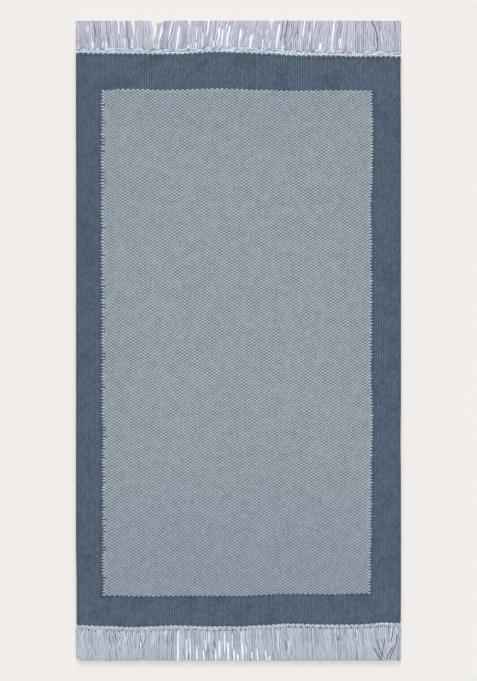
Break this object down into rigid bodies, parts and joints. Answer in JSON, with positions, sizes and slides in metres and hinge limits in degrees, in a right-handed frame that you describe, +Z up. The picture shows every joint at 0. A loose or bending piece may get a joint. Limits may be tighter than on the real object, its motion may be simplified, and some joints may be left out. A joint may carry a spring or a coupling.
{
  "type": "kilim rug",
  "caption": "Flat-woven rectangular rug with a plain field, a wide plain border, knotted headings and a cut fringe at both ends.",
  "frame": {"origin": "on the floor under the middle of the rug, fringes included", "axes": "+X across the rug, +Y along the warp towards the far fringe, +Z up from the floor through the cloth"},
  "size_m": [0.7, 1.38, 0.007],
  "materials": {
    "field_yarn": "matte",
    "border_yarn": "matte",
    "heading_yarn": "matte",
    "fringe_yarn": "matte"
  },
  "bodies": {
    "root": {"woven_cloth": "field_yarn", "heading_far": "heading_yarn", "heading_near": "heading_yarn", "fringe_far": "fringe_yarn", "fringe_near": "fringe_yarn"}
  },
  "joints": []
}
